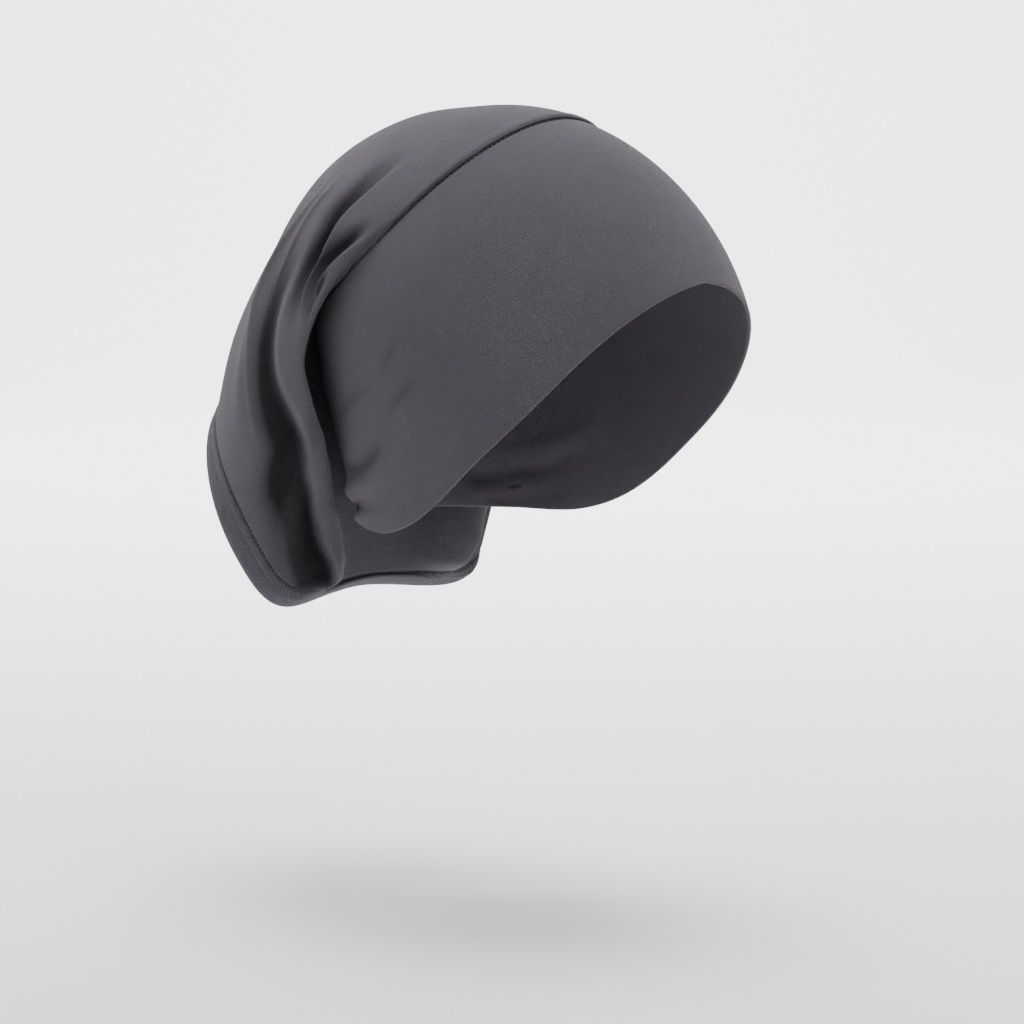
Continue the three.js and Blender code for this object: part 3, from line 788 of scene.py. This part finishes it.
panel_rings = np.concatenate([panel_lining[::-1], panel_face])
panel_flat = np.concatenate([spread_flat(panel_lining, panel_top)[::-1],
                             spread_flat(panel_face, panel_top)])
end_panel = cloth_mesh("end_panel_jersey", panel_rings, panel_flat, np.zeros(0),
                       caps=(panel_top - panel_facing * PANEL_THICKNESS, panel_top))
end_panel.data.materials.append(
    jersey("panel_jersey", (0.052, 0.047, 0.056), (0.094, 0.086, 0.099), 0.00105, 0.0009, 0.0))
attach(end_panel, "root")
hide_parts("end_panel")
end_stitches = stitch_row("end_seam_stitches", bag_face[-1] + panel_onward * SEAM_GAP / 2,
                          grid_normals(bag_face)[-1], END_STITCH_PITCH, END_STITCH_WIDTH)
end_stitches.data.materials.append(thread("end_seam_thread"))
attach(end_stitches, "root")


# ---- The stage ----
# A pale floor that sweeps up behind the cap, three large soft lamps on the cap and one on the
# sweep, and a camera where the photograph was taken from, at the wearer's right front.
FLOOR_BELOW = 0.34
FLOOR_BEFORE = 3
FLOOR_BEHIND = 3
FLOOR_HALF_WIDTH = 6
SWEEP_RADIUS = 1.5
SWEEP_TOP = 6
CAMERA_AZIMUTH = np.radians(-50)
CAMERA_PITCH = np.radians(6)
CAMERA_DISTANCE = 1.6
FOCAL_PIXELS = 3792
HEAD_CENTRE_PIXEL = (535, 350)
PICTURE = 1024
SENSOR_WIDTH = 36

right = np.array([np.cos(CAMERA_AZIMUTH), np.sin(CAMERA_AZIMUTH), 0])
away = np.array([-np.sin(CAMERA_AZIMUTH), np.cos(CAMERA_AZIMUTH), 0])
profile = [(-FLOOR_BEFORE, 0)]
for angle in np.linspace(0, np.pi / 2, 17):
    profile.append((FLOOR_BEHIND + SWEEP_RADIUS * np.sin(angle),
                    SWEEP_RADIUS * (1 - np.cos(angle))))
profile.append((FLOOR_BEHIND + SWEEP_RADIUS, SWEEP_TOP))
floor_points = [tuple(away * run + right * wide + np.array([0, 0, rise - FLOOR_BELOW]))
                for run, rise in profile for wide in (-FLOOR_HALF_WIDTH, FLOOR_HALF_WIDTH)]
floor_faces = [(2 * k, 2 * k + 1, 2 * k + 3, 2 * k + 2) for k in range(len(profile) - 1)]
floor_mesh = bpy.data.meshes.new("floor")
floor_mesh.from_pydata(floor_points, [], floor_faces)
floor_mesh.polygons.foreach_set("use_smooth", np.ones(len(floor_faces), bool))
floor_material = bpy.data.materials.new("pale_floor")
floor_material.use_nodes = True
floor_shader = floor_material.node_tree.nodes["Principled BSDF"]
floor_shader.inputs["Base Color"].default_value = (0.94, 0.943, 0.955, 1)
floor_shader.inputs["Roughness"].default_value = 0.9
floor_mesh.materials.append(floor_material)
floor = linked("floor", floor_mesh)

world = bpy.data.worlds.new("studio")
world.use_nodes = True
sky = world.node_tree.nodes["Background"]
sky.inputs["Color"].default_value = (0.93, 0.95, 1, 1)
sky.inputs["Strength"].default_value = 0.25
bpy.context.scene.world = world


def lamp(name, place, target, size, power):
    light = bpy.data.lights.new(name, "AREA")
    light.shape, light.size, light.energy = "SQUARE", size, power
    made = linked(name, light)
    made.location = place
    made.rotation_euler = (Vector(target) - Vector(place)).to_track_quat("-Z", "Y").to_euler()


cap_middle = (0, 0, -0.1)
lamp("key_lamp", (-0.6, -1.9, 1.7), cap_middle, 1.6, 33)
lamp("fill_lamp", (-2.2, 0.5, 0.9), cap_middle, 1.8, 6)
lamp("top_lamp", (0.1, 0.1, 2.2), cap_middle, 1.4, 70)
lamp("backdrop_lamp", tuple(away * 1.8 + [0, 0, 2.4]), tuple(away * 4.2 + [0, 0, 0.4]), 2.5, 380)

back = np.array([0, 0, np.sin(CAMERA_PITCH)]) - away * np.cos(CAMERA_PITCH)
up = np.cross(back, right)
aside = (HEAD_CENTRE_PIXEL[0] - PICTURE / 2) / FOCAL_PIXELS * CAMERA_DISTANCE
above = -(HEAD_CENTRE_PIXEL[1] - PICTURE / 2) / FOCAL_PIXELS * CAMERA_DISTANCE
eye = back * CAMERA_DISTANCE - right * aside - up * above - TOP_OF_HEAD / 1000
camera_data = bpy.data.cameras.new("camera")
camera_data.lens = FOCAL_PIXELS / PICTURE * SENSOR_WIDTH
camera_data.sensor_width = SENSOR_WIDTH
camera_data.clip_end = 60
camera = linked("camera", camera_data)
camera_rows = zip(np.stack([right, up, back], 1), eye)
camera.matrix_world = Matrix([[*row, place] for row, place in camera_rows] + [[0, 0, 0, 1]])
bpy.context.scene.camera = camera
